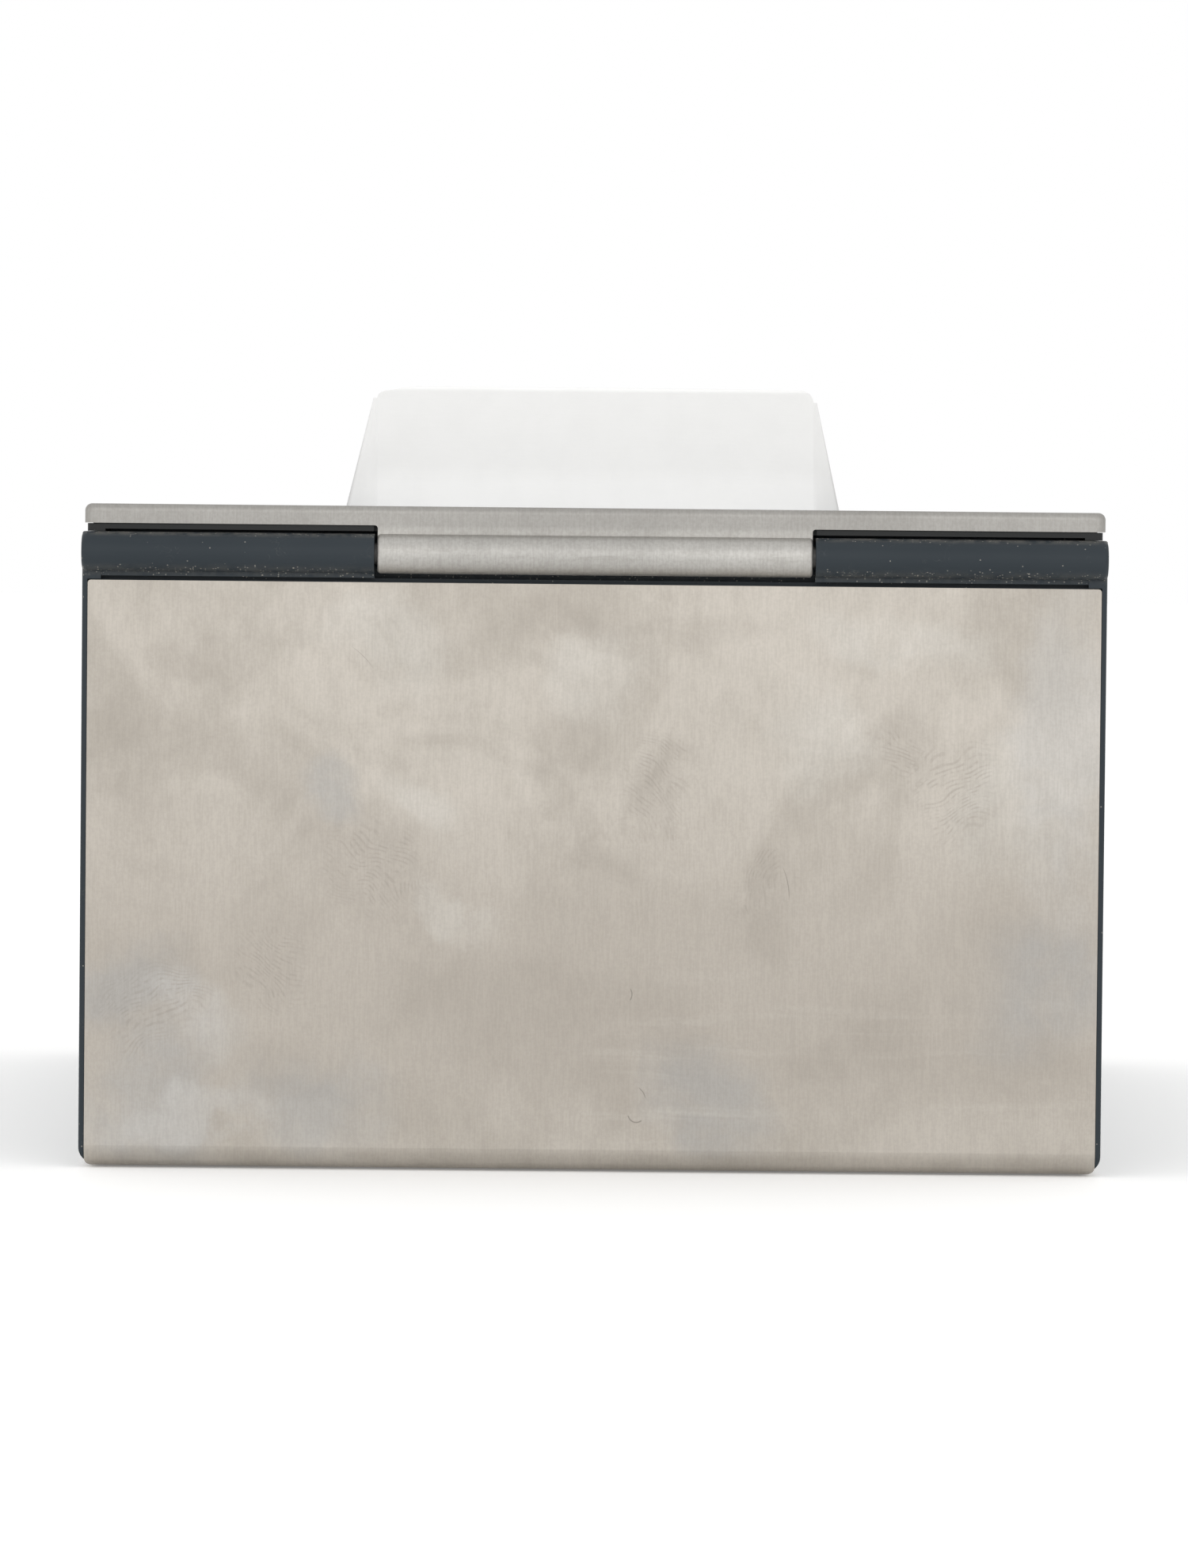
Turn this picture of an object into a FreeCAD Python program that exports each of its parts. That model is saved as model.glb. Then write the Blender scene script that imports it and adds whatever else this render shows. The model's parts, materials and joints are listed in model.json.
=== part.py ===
import FreeCAD, Part
import math
import os
from FreeCAD import Vector

# Top-pull napkin dispenser, millimetres. +Z is up, the hinge side faces -Y, and the origin is on the
# surface that it stands on, under the middle of the case.

# Overall
TUB_HALF = 57.1  # half the width of the moulded tub
SKIN_HALF = 56.45  # half the width of the body's steel skin
LID_HALF = 56.85  # half the width of the lid
FACE_Y = 88.0  # the steel faces at the rear and the front lie at -FACE_Y and +FACE_Y
SHEET = 0.8  # thickness of both steel skins
FOOT_PROUD = 0.2  # how far the pads lift the underside off the surface
SKIN_TOP_Z = 65.65  # upper edge of the body's skin
RIM_Z = 71.05  # the tub's rim and the top of the hinge knuckles
LID_EDGE_Z = 72.0  # lower edge of the lid's flange
LID_TOP_Z = 74.15
BEND_R = 2.4  # outer radius of the skin's bends under the case
SKIN_LOW_CORNER_R = 0.8
SKIN_TOP_CORNER_R = 0.35
SLACK = 0.1  # clearance between pieces of one assembly

# Hinge
KNUCKLE_R = 2.2
HINGE_Y = -87.8
HINGE_Z = RIM_Z - KNUCKLE_R
PIN_R = 1.25
PIN_HALF = 55.5
LID_BORE_R = PIN_R + 0.05
TUB_BORE_R = PIN_R + 0.02
TAB_HALF = 24.2  # half the width of the lid's centre knuckle
NOTCH_HALF = TAB_HALF + 0.35
NOTCH_Z = 66.1
NOTCH_Y = HINGE_Y + KNUCKLE_R + 0.5
BOSS_END = TUB_HALF  # the knuckles' rounded outer ends
BOSS_END_R = 0.5
KNUCKLE_ROOT_R = 0.5  # the hollow under each knuckle

# Tub
WALL_X = 2.1
WALL_Y = 3.8
FLOOR = 2.0
TUB_Z = FOOT_PROUD + SHEET
FLOOR_Z = TUB_Z + FLOOR
TUB_FACE_Y = FACE_Y - SHEET
BAY_X = TUB_HALF - WALL_X
BAY_Y = TUB_FACE_Y - WALL_Y
BAND_Y = 0.7 - TUB_FACE_Y  # the band under the knuckles is sunk between the side walls
TUB_CORNER_R = 2.2
TUB_CORNER_Z = 0.25  # where the lower corners' curve would end, under the tub's floor
TUB_EDGE_R = 0.45
CHEEK_IN = 0.1  # how far the tub's cheeks, which flank the skin's edges, stay inside its faces
TUB_TOP_R = 0.3
BAY_CORNER_R = 1.5
BEAD = (0.2, 0.7)  # from the bay's edge to the near and far sides of a bead at its rear and front
BEAD_HALF = 54.2

# Underside
PAD_R = 5.5
PAD_AT = (44.0, 72.0)
SCREW_AT = (44.0, 56.0)
SCREW_R = 1.25
SCREW_HEAD_R = 2.4
SCREW_BOSS_R = 3.2
SCREW_BOSS_Z = 7.1
SCREW_TIP_Z = 6.4
SCREW_HEAD = 1.2  # depth of the countersink
CROSS_HALF = 1.5  # half length and half width of the screws' cross
CROSS_W = 0.3

# Napkins and the bay that they lie in
NAPKIN_X = 108.0
NAPKIN_Y = 165.0
STACK_TOP_Z = 70.6
STACK_Z = 36.0
TAIL_TOP_Z = 89.2
TAIL_SECTIONS = (  # height, half width, half thickness of the popped-up napkin
    (STACK_TOP_Z, 31.4, 3.9),
    (79.4, 29.4, 3.0),
    (87.6, 27.4, 1.5),
    (TAIL_TOP_Z, 26.5, 0.7),
)

# Follower, its shoes and its springs
PLATE = 2.4
PLATE_X = 54.2
PLATE_Y = 82.0
PLATE_Z = STACK_Z - PLATE
PLATE_CORNER_R = 3.0
RIB_H = 2.4
RIB = 1.8
RIB_X = 24.0
RIB_Y = 70.0
RIB_END_X = 46.2
RIB_END_Y = 78.0
GLIDE_Y = 50.0
GLIDE_HALF = 4.0
GLIDE_X = 55.6
GLIDE_TOP_Z = 38.0
GLIDE_FOOT = (8.0, 1.8)  # length under the plate, and thickness
GROOVE_X = GLIDE_X + 0.3
GROOVE_HALF = GLIDE_HALF + 0.3
GROOVE_Z = 5.0
SPRING_Y = 45.0
SPRING_BASE_R = 12.0
SPRING_TOP_R = 5.4
SPRING_WIRE_R = 0.6
SPRING_TURNS = 5
WIRE_POINTS = 8  # round the wire
QUARTER_STEPS = 4  # along each quarter turn
CUP_WALL = 1.2  # wall of the rings that centre the springs
RING_H = 0.5  # low, so that the wider coils clear the rings when the springs are pressed flat
CUP_H = 2.0
CLIP_SCREW_X = 16.5
CLIP_BOSS_R = 2.6
CLIP_BOSS_Z = FLOOR_Z + 2 * SPRING_WIRE_R + 0.35
CLIP = 0.8
CLIP_X = (SPRING_BASE_R - 0.9, CLIP_SCREW_X + 3.0)
CLIP_HALF = 2.4
CLIP_HEAD_R = 2.2
CLIP_HEAD = 1.4

# Lid
LID_CORNER_R = 1.0
LID_BEND_R = 0.8
TAB_ROOT_R = 0.35
LINER_Z = RIM_Z + 0.3
LINER_EDGE = 0.3  # how far the liner's flange stays inside the lid's outline
LINER_FOOT = 2.0  # width of the ridges along the liner's sides, which almost meet the rim
LINER_FOOT_GAP = 0.03
BEAD_Z = LINER_Z - 0.08
SEAL = (54.7, 83.15, 0.5)  # the rib that drops inside the bay: half length, half width, thickness
SEAL_Z = 70.8
SLOT_HALF = 33.0  # half length of the opening for the fingers
SLOT_R = 11.0  # and half its width
THROAT_WALL = 1.6
THROAT_FLANGE = 4.0
THROAT_LIP_R = 0.7
LIP_HALF = 20.0
LIP_Y = KNUCKLE_R - HINGE_Y
LIP_REACH = 2.9
LIP_CORNER_R = 1.9

# Catch and buffers in the front rim
CATCH_AT = (30.0, 85.3)
MAGNET = (12.0, 2.2, 3.0)
CATCH_PLATE = (13.0, 2.6, 0.8)
BUFFER_AT = (50.0, 85.3)
BUFFER_R = 1.2
BUFFER_DEPTH = 2.0
BUFFER_TOP_Z = LINER_Z - 0.04

SIDES = (-1, 1)
CORNERS = [(sx, sy) for sx in SIDES for sy in SIDES]


def block(x0, x1, y0, y1, z0, z1):
    return Part.makeBox(x1 - x0, y1 - y0, z1 - z0, Vector(x0, y0, z0))


def disc(radius, x, y, z0, z1):
    return Part.makeCylinder(radius, z1 - z0, Vector(x, y, z0))


def rod(radius, x0, x1, y=HINGE_Y, z=HINGE_Z):
    return Part.makeCylinder(radius, x1 - x0, Vector(x0, y, z), Vector(1, 0, 0))


def rounded(u0, u1, v0, v1, low_r, high_r, place, along):
    """A bar whose section is a rectangle in u and v. Its corners at v0 have the radius low_r and those
    at v1 high_r. place turns (u, v) into a point, and along is the bar's length as a vector."""
    corners = ((u0, v0, low_r), (u1, v0, low_r), (u1, v1, high_r), (u0, v1, high_r))
    middle = ((u0 + u1) / 2, (v0 + v1) / 2)
    edges, ends = [], []
    for u, v, r in corners:
        du = math.copysign(r, middle[0] - u)
        dv = math.copysign(r, middle[1] - v)
        first, last = (u, v + dv), (u + du, v)
        if du * dv < 0:
            first, last = last, first
        cut = r * (1 - math.sqrt(0.5))
        bend = (u + math.copysign(cut, du), v + math.copysign(cut, dv))
        ends.append((place(*first), place(*bend), place(*last)))
    for i, (first, bend, last) in enumerate(ends):
        edges.append(Part.Arc(first, bend, last).toShape())
        edges.append(Part.LineSegment(last, ends[(i + 1) % 4][0]).toShape())
    return Part.Face(Part.Wire(edges)).extrude(along)


def bar_y(x, y0, y1, z0, z1, low_r, high_r):
    """A bar along Y, with its rounded outline in the front view."""
    return rounded(-x, x, z0, z1, low_r, high_r, lambda u, v: Vector(u, y0, v), Vector(0, y1 - y0, 0))


def bar_x(x, y, z0, z1, low_r, high_r):
    """A bar along X, with its rounded outline in the side view."""
    return rounded(-y, y, z0, z1, low_r, high_r, lambda u, v: Vector(-x, u, v), Vector(2 * x, 0, 0))


def plate_z(x, y, z0, z1, r, cx=0.0, cy=0.0):
    """A plate with its rounded outline in the plan."""
    return rounded(
        cx - x, cx + x, cy - y, cy + y, r, r, lambda u, v: Vector(u, v, z0), Vector(0, 0, z1 - z0)
    )


def oblong(half_length, half_width, z0, z1):
    """A plate with round ends."""
    flat = half_length - half_width
    shape = block(-flat, flat, -half_width, half_width, z0, z1)
    return shape.fuse([disc(half_width, s * flat, 0, z0, z1) for s in SIDES]).removeSplitter()


def fillet_where(shape, radius, wanted):
    """Round each edge for which wanted(edge) is true."""
    return shape.makeFillet(radius, [e for e in shape.Edges if wanted(e)])


def group(shapes):
    return Part.makeCompound(shapes)


def body_tub():
    shape = tub_block(SHEET).fuse([cheeks()] + [bead(s) for s in SIDES])
    shape = shape.cut(plate_z(BAY_X, BAY_Y, FLOOR_Z, RIM_Z + 1, BAY_CORNER_R))
    shape = shape.cut(block(-BAY_X, BAY_X, -TUB_FACE_Y - 1, BAND_Y, SKIN_TOP_Z + SLACK, RIM_Z + 1))
    shape = shape.fuse([knuckle(s) for s in SIDES] + [knuckle_root()])
    shape = shape.cut(block(-NOTCH_HALF, NOTCH_HALF, HINGE_Y - 5, NOTCH_Y, NOTCH_Z, RIM_Z + 1))
    shape = shape.cut(rod(TUB_BORE_R, -BOSS_END - 1, BOSS_END + 1))
    return shape.fuse(tub_bosses()).cut(tub_pockets()).removeSplitter()


def tub_block(inset):
    """The tub's rounded outside, this far inside the skin's faces at the rear, the front and below."""
    y, low = FACE_Y - inset, FOOT_PROUD + inset
    shape = bar_x(TUB_HALF, y, low, RIM_Z, BEND_R - inset, TUB_TOP_R)
    shape = shape.common(bar_y(TUB_HALF, -y, y, TUB_CORNER_Z, RIM_Z, TUB_CORNER_R, TUB_TOP_R))
    return shape.common(plate_z(TUB_HALF, y, low, RIM_Z, TUB_EDGE_R))


def cheeks():
    """The side walls' outer edges, which flank the skin, and stand beside the hinge above it."""
    inner = block(-BAY_X, BAY_X, -FACE_Y, FACE_Y, 0, RIM_Z + 1)
    x = SKIN_HALF + SLACK / 2
    return tub_block(CHEEK_IN).cut([inner, block(-x, x, -FACE_Y, FACE_Y, 0, SKIN_TOP_Z + SLACK)])


def knuckle(side):
    """One of the tub's outer knuckles, with its outer end rounded."""
    barrel = rod(KNUCKLE_R, NOTCH_HALF, BOSS_END)
    barrel = fillet_where(barrel, BOSS_END_R, lambda e: e.BoundBox.XMin > BOSS_END - SLACK)
    if side < 0:
        barrel = barrel.mirror(Vector(0, 0, 0), Vector(1, 0, 0))
    return barrel


def bead(side):
    """A raised line along the bay's rear or front edge."""
    y0, y1 = sorted((side * (BAY_Y + BEAD[0]), side * (BAY_Y + BEAD[1])))
    return block(-BEAD_HALF, BEAD_HALF, y0, y1, RIM_Z - SLACK, BEAD_Z)


def knuckle_root():
    """Fills the corner between the knuckles and the band with a hollow curve."""
    low = HINGE_Z - KNUCKLE_R - KNUCKLE_ROOT_R
    fill = block(-BAY_X, BAY_X, HINGE_Y, BAND_Y + SLACK, low, HINGE_Z)
    return fill.cut(rod(KNUCKLE_ROOT_R, -BAY_X - 1, BAY_X + 1, BAND_Y - KNUCKLE_ROOT_R, low))


def tub_bosses():
    """Screw bosses and the rings that centre the springs, all on the floor."""
    bosses = [
        disc(SCREW_BOSS_R, sx * SCREW_AT[0], sy * SCREW_AT[1], FLOOR_Z - SLACK, SCREW_BOSS_Z)
        for sx, sy in CORNERS
    ]
    radius = SPRING_BASE_R - SPRING_WIRE_R - 0.8
    for y in (-SPRING_Y, SPRING_Y):
        cup = disc(radius, 0, y, FLOOR_Z - SLACK, FLOOR_Z + CUP_H)
        bosses.append(cup.cut(disc(radius - CUP_WALL, 0, y, FLOOR_Z - 1, FLOOR_Z + CUP_H + 1)))
        bosses.append(disc(CLIP_BOSS_R, CLIP_SCREW_X, y, FLOOR_Z - SLACK, CLIP_BOSS_Z))
    return bosses


def tub_pockets():
    """Grooves for the follower's shoes, screw holes, and pockets for magnets and buffers."""
    cuts = []
    for sx, sy in CORNERS:
        x, y = sx * SCREW_AT[0], sy * SCREW_AT[1]
        cuts.append(disc(SCREW_R + 0.05, x, y, TUB_Z - 1, SCREW_TIP_Z + 0.2))
        cuts.append(countersink(x, y, 0))
        low, high = sorted((sx * (BAY_X - 1), sx * GROOVE_X))
        y = sy * GLIDE_Y
        cuts.append(block(low, high, y - GROOVE_HALF, y + GROOVE_HALF, GROOVE_Z, RIM_Z + 1))
    for s in SIDES:
        cuts.append(disc(SCREW_R + 0.05, CLIP_SCREW_X, s * SPRING_Y, TUB_Z + 0.6, CLIP_BOSS_Z + 1))
        cuts.append(catch_block(s, MAGNET, SLACK, RIM_Z - MAGNET[2] - SLACK, RIM_Z + 1))
        cuts.append(disc(BUFFER_R, s * BUFFER_AT[0], BUFFER_AT[1], RIM_Z - BUFFER_DEPTH, RIM_Z + 1))
    return cuts


def countersink(x, y, spare):
    """The cone of a skin screw's head, smaller by spare."""
    place = Vector(x, y, FOOT_PROUD + spare / 2)
    return Part.makeCone(SCREW_HEAD_R - spare, SCREW_R - spare, SCREW_HEAD, place)


def catch_block(side, size, spare, z0, z1):
    """A block over the catch on one side, as long and wide as size, with spare all round."""
    x, y = side * CATCH_AT[0], CATCH_AT[1]
    dx, dy = size[0] / 2 + spare / 2, size[1] / 2 + spare / 2
    return block(x - dx, x + dx, y - dy, y + dy, z0, z1)


def body_skin():
    """One sheet, bent up at the rear and the front."""
    high = SKIN_TOP_Z + 10
    shape = bar_x(SKIN_HALF, FACE_Y, FOOT_PROUD, high, BEND_R, 1)
    shape = shape.cut(bar_x(SKIN_HALF + 1, TUB_FACE_Y, TUB_Z, high + 1, BEND_R - SHEET, 1))
    corners = (SKIN_LOW_CORNER_R, SKIN_TOP_CORNER_R)
    shape = shape.common(bar_y(SKIN_HALF, -FACE_Y - 1, FACE_Y + 1, FOOT_PROUD, SKIN_TOP_Z, *corners))
    holes = []
    for sx, sy in CORNERS:
        holes.append(disc(PAD_R + 0.2, sx * PAD_AT[0], sy * PAD_AT[1], 0, TUB_Z + SLACK))
        holes.append(countersink(sx * SCREW_AT[0], sy * SCREW_AT[1], 0))
    return shape.cut(holes)


def skin_screws():
    screws = []
    for sx, sy in CORNERS:
        x, y = sx * SCREW_AT[0], sy * SCREW_AT[1]
        head = countersink(x, y, 0.05)
        screw = head.fuse(disc(SCREW_R, x, y, FOOT_PROUD + SCREW_HEAD - 0.05, SCREW_TIP_Z))
        high = FOOT_PROUD + SCREW_HEAD / 2
        cross = [
            block(x - dx, x + dx, y - dy, y + dy, 0, high)
            for dx, dy in ((CROSS_HALF, CROSS_W), (CROSS_W, CROSS_HALF))
        ]
        screws.append(screw.cut(cross).removeSplitter())
    return group(screws)


def foot_pads():
    pads = []
    for sx, sy in CORNERS:
        pad = disc(PAD_R, sx * PAD_AT[0], sy * PAD_AT[1], 0, TUB_Z)
        pads.append(fillet_where(pad, 0.2, lambda e: e.BoundBox.ZMax < 0.01))
    return group(pads)


def hinge_pin():
    pin = rod(PIN_R, -PIN_HALF, PIN_HALF)
    return pin.makeChamfer(0.3, [e for e in pin.Edges if e.BoundBox.XLength < 0.01])


def hinge_pin_plugs():
    plugs = []
    for s in SIDES:
        low, high = sorted((s * (PIN_HALF + SLACK), s * (BOSS_END - 0.05)))
        plugs.append(rod(PIN_R, low, high))
    return group(plugs)


def coil_ring(share, height):
    """Points round the spring's wire, at this share of its way up."""

    def middle(t):
        turn = math.radians(360 * SPRING_TURNS * t)
        radius = SPRING_BASE_R + (SPRING_TOP_R - SPRING_BASE_R) * t
        return Vector(radius * math.cos(turn), radius * math.sin(turn), height * t)

    step = 1e-5
    ahead = (middle(share + step) - middle(share - step)).normalize()
    outward = Vector(middle(share).x, middle(share).y, 0)
    outward = (outward - ahead * outward.dot(ahead)).normalize()
    across = ahead.cross(outward)
    angles = [math.radians(360 * i / WIRE_POINTS) for i in range(WIRE_POINTS + 1)]
    return [
        middle(share) + (outward * math.cos(a) + across * math.sin(a)) * SPRING_WIRE_R for a in angles
    ]


def lift_spring(side):
    """A conical spring between the tub's floor and the follower, in quarter turns sewn together."""
    low = FLOOR_Z + SPRING_WIRE_R
    height = PLATE_Z - SPRING_WIRE_R - low
    quarters = 4 * SPRING_TURNS
    faces = []
    for k in range(quarters):
        surface = Part.BSplineSurface()
        surface.interpolate(
            [coil_ring((k + i / QUARTER_STEPS) / quarters, height) for i in range(QUARTER_STEPS + 1)]
        )
        faces.append(surface.toShape())
    shell = Part.makeCompound(faces + [coil_end(faces[0], 0, height), coil_end(faces[-1], 1, height)])
    shell.sewShape(1e-4)
    spring = Part.Solid(shell.Shells[0])
    if spring.Volume < 0:
        spring.reverse()
    spring.translate(Vector(0, side * SPRING_Y, low))
    return spring


def coil_end(face, share, height):
    """The flat end of the spring's wire, on the end edge of its last face."""
    start = coil_ring(share, height)[0]
    longest = 2.6 * math.pi * SPRING_WIRE_R
    for edge in face.Edges:
        if edge.Length < longest and all((v.Point - start).Length < 1e-5 for v in edge.Vertexes):
            return Part.Face(Part.Wire(edge))


def spring_clips():
    """A clip over the lowest coil of each spring, on its boss."""
    clips = []
    half, middle = (CLIP_X[1] - CLIP_X[0]) / 2, (CLIP_X[1] + CLIP_X[0]) / 2
    for y in (-SPRING_Y, SPRING_Y):
        clip = plate_z(half, CLIP_HALF, CLIP_BOSS_Z, CLIP_BOSS_Z + CLIP, CLIP / 2, middle, y)
        clips.append(clip.cut(disc(SCREW_R + SLACK, CLIP_SCREW_X, y, CLIP_BOSS_Z - 1, CLIP_BOSS_Z + 2)))
    return group(clips)


def spring_clip_screws():
    screws = []
    low = CLIP_BOSS_Z + CLIP
    for y in (-SPRING_Y, SPRING_Y):
        head = disc(CLIP_HEAD_R, CLIP_SCREW_X, y, low, low + CLIP_HEAD)
        head = fillet_where(head, CLIP_HEAD_R / 4, lambda e: e.BoundBox.ZMin > low + CLIP_HEAD - SLACK)
        screws.append(head.fuse(disc(SCREW_R, CLIP_SCREW_X, y, TUB_Z + 0.8, low + SLACK)))
    return group(screws)


def lid_buffers():
    x, y = BUFFER_AT
    return group([disc(BUFFER_R, s * x, y, RIM_Z - BUFFER_DEPTH, BUFFER_TOP_Z) for s in SIDES])


def catch_magnets():
    return group([catch_block(s, MAGNET, 0, RIM_Z - MAGNET[2], RIM_Z) for s in SIDES])


def catch_plates():
    return group([catch_block(s, CATCH_PLATE, 0, LINER_Z, LINER_Z + CATCH_PLATE[2]) for s in SIDES])


def lid_skin():
    """A shallow pan with a slot, a rolled knuckle at the rear and a pull lip at the front."""
    shape = plate_z(LID_HALF, FACE_Y, LID_EDGE_Z, LID_TOP_Z, LID_CORNER_R)
    shape = fillet_where(shape, LID_BEND_R, lambda e: e.BoundBox.ZMin > LID_TOP_Z - SLACK)
    inner = LID_CORNER_R - SHEET
    shape = shape.cut(
        plate_z(LID_HALF - SHEET, FACE_Y - SHEET, LID_EDGE_Z - 1, LID_TOP_Z - SHEET, inner)
    )
    high = LID_EDGE_Z + SHEET
    lip = plate_z(LIP_HALF, LIP_REACH, LID_EDGE_Z, high, LIP_CORNER_R, 0, LIP_Y - LIP_REACH)
    lip = lip.common(block(-LIP_HALF, LIP_HALF, FACE_Y - SHEET / 2, LIP_Y, 0, LID_TOP_Z))
    shape = shape.cut(throat_hole(LID_TOP_Z + 1)).fuse([lip] + lid_tab())
    return shape.cut(rod(LID_BORE_R, -TAB_HALF - 1, TAB_HALF + 1)).removeSplitter()


def throat_hole(high):
    """The hole in the lid and its liner for the wall of the throat ring."""
    spare = THROAT_WALL + SLACK
    return oblong(SLOT_HALF + spare, SLOT_R + spare, LINER_Z - 1, high)


def lid_tab():
    """The strip that runs down from the flange into the rolled barrel, and the rounded inner corners."""
    low = HINGE_Z + LID_BORE_R + SHEET / 3
    strip = block(-TAB_HALF, TAB_HALF, -FACE_Y, -TUB_FACE_Y, low, LID_EDGE_Z + SLACK)
    barrel = rod(KNUCKLE_R, -TAB_HALF, TAB_HALF)
    barrel = fillet_where(barrel, TAB_ROOT_R, lambda e: e.BoundBox.XLength < 0.01)
    pieces = [strip, barrel]
    for s in SIDES:
        x0, x1 = sorted((s * TAB_HALF, s * (TAB_HALF + TAB_ROOT_R)))
        corner = block(x0, x1, -FACE_Y, -TUB_FACE_Y, LID_EDGE_Z - TAB_ROOT_R, LID_EDGE_Z + SLACK)
        centre = Vector(s * (TAB_HALF + TAB_ROOT_R), -FACE_Y - 1, LID_EDGE_Z - TAB_ROOT_R)
        pieces.append(corner.cut(Part.makeCylinder(TAB_ROOT_R, 3, centre, Vector(0, 1, 0))))
    return pieces


def lid_liner():
    """A moulded plate inside the lid. It has a flange under the steel's edge, a ridge at each side that
    almost meets the rim, and a rib that drops inside the bay."""
    spare = SHEET + SLACK
    top = LID_TOP_Z - SHEET
    shape = plate_z(LID_HALF - spare, FACE_Y - spare, LINER_Z, top, LID_CORNER_R - SHEET)
    x, y = LID_HALF - LINER_EDGE, FACE_Y - LINER_EDGE
    flange = plate_z(x, y, LINER_Z, LID_EDGE_Z - 0.05, LID_CORNER_R - LINER_EDGE)
    outline = plate_z(x, y, 0, LID_TOP_Z, LID_CORNER_R - LINER_EDGE)
    seal = plate_z(SEAL[0], SEAL[1], SEAL_Z, LINER_Z + SLACK, BAY_CORNER_R)
    seal = seal.cut(plate_z(SEAL[0] - SEAL[2], SEAL[1] - SEAL[2], 0, LID_TOP_Z, BAY_CORNER_R - SEAL[2]))
    shape = shape.fuse([flange, seal])
    for s in SIDES:
        x0, x1 = sorted((s * x, s * (x - LINER_FOOT)))
        foot = block(x0, x1, -y, y, RIM_Z + LINER_FOOT_GAP, LINER_Z + SLACK)
        shape = shape.fuse(foot.common(outline))
    tab = TAB_HALF + TAB_ROOT_R + SLACK
    notch = block(-tab, tab, -FACE_Y - 1, -FACE_Y + spare, LINER_Z - 1, LID_EDGE_Z)
    seat = oblong(SLOT_HALF + THROAT_FLANGE + SLACK, SLOT_R + THROAT_FLANGE + SLACK, top - 0.9, top + 1)
    pockets = [catch_block(s, CATCH_PLATE, SLACK, LINER_Z - 1, LINER_Z + CATCH_PLATE[2]) for s in SIDES]
    return shape.cut([notch, throat_hole(top + 1), seat] + pockets).removeSplitter()


def throat_ring():
    """The slot's moulded lining, flush with the lid, clamped by its flange between liner and lid."""
    top = LID_TOP_Z - SHEET
    high = LID_TOP_Z - 0.05
    ring = oblong(SLOT_HALF + THROAT_WALL, SLOT_R + THROAT_WALL, LINER_Z, high)
    ring = ring.fuse(oblong(SLOT_HALF + THROAT_FLANGE, SLOT_R + THROAT_FLANGE, top - 0.8, top))
    ring = ring.cut(oblong(SLOT_HALF, SLOT_R, LINER_Z - 1, LID_TOP_Z + 1)).removeSplitter()

    def lip(e):
        box = e.BoundBox
        return box.ZMin > high - 0.01 and box.XMax < SLOT_HALF + 0.01 and box.YMax < SLOT_R + 0.01

    return fillet_where(ring, THROAT_LIP_R, lip)


def follower_plate():
    """The plate under the napkins, with ribs and two rings round the springs' tops below it."""
    shape = plate_z(PLATE_X, PLATE_Y, PLATE_Z, STACK_Z, PLATE_CORNER_R)
    low, half = PLATE_Z - RIB_H, RIB / 2
    pieces = []
    for s in SIDES:
        x, y = s * RIB_X, s * RIB_Y
        pieces.append(block(x - half, x + half, -RIB_END_Y, RIB_END_Y, low, PLATE_Z))
        pieces.append(block(-RIB_END_X, RIB_END_X, y - half, y + half, low, PLATE_Z))
    inner = SPRING_TOP_R + SPRING_WIRE_R + 0.7
    for y in (-SPRING_Y, SPRING_Y):
        ring = disc(inner + CUP_WALL, 0, y, PLATE_Z - RING_H, PLATE_Z)
        pieces.append(ring.cut(disc(inner, 0, y, low - 1, PLATE_Z)))
    return shape.fuse(pieces).removeSplitter()


def follower_glides():
    """Shoes under the plate's edges that run in the tub's grooves."""
    shoes = []
    for sx, sy in CORNERS:
        y0, y1 = sy * GLIDE_Y - GLIDE_HALF, sy * GLIDE_Y + GLIDE_HALF
        low = PLATE_Z - GLIDE_FOOT[1]
        x0, x1 = sorted((sx * (GLIDE_X - GLIDE_FOOT[0]), sx * GLIDE_X))
        foot = block(x0, x1, y0, y1, low, PLATE_Z)
        x0, x1 = sorted((sx * (PLATE_X + SLACK), sx * GLIDE_X))
        shoes.append(foot.fuse(block(x0, x1, y0, y1, low, GLIDE_TOP_Z)).removeSplitter())
    return group(shoes)


def napkin_stack():
    return plate_z(NAPKIN_X / 2, NAPKIN_Y / 2, STACK_Z, STACK_TOP_Z, 1)


def napkin_tail():
    """The top napkin, drawn up through the slot."""
    rings = []
    for z, x, y in TAIL_SECTIONS:
        face = plate_z(x, y, z, z + 1, 0.6 * y).Faces
        flat = [f for f in face if abs(f.CenterOfMass.z - z) < 1e-6][0]
        rings.append(flat.OuterWire)
    return Part.makeLoft(rings, True, True)


PARTS = {
    "body_tub": body_tub,
    "body_skin": body_skin,
    "skin_screws": skin_screws,
    "foot_pads": foot_pads,
    "hinge_pin": hinge_pin,
    "hinge_pin_plugs": hinge_pin_plugs,
    "lift_spring_rear": lambda: lift_spring(-1),
    "lift_spring_front": lambda: lift_spring(1),
    "spring_clips": spring_clips,
    "spring_clip_screws": spring_clip_screws,
    "lid_buffers": lid_buffers,
    "catch_magnets": catch_magnets,
    "catch_plates": catch_plates,
    "lid_skin": lid_skin,
    "lid_liner": lid_liner,
    "throat_ring": throat_ring,
    "follower_plate": follower_plate,
    "follower_glides": follower_glides,
    "napkin_stack": napkin_stack,
    "napkin_tail": napkin_tail,
}

os.makedirs("parts", exist_ok=True)
for name, make in PARTS.items():
    shape = make()
    shape.exportStep(f"parts/{name}.step")
    box = shape.BoundBox
    print(
        f"{name}: valid {shape.isValid()}, {len(shape.Solids)} solids, {shape.Volume / 1000:.2f} cm3,"
        f" x {box.XMin:.2f} {box.XMax:.2f} y {box.YMin:.2f} {box.YMax:.2f} z {box.ZMin:.2f} {box.ZMax:.2f}"
    )
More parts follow.
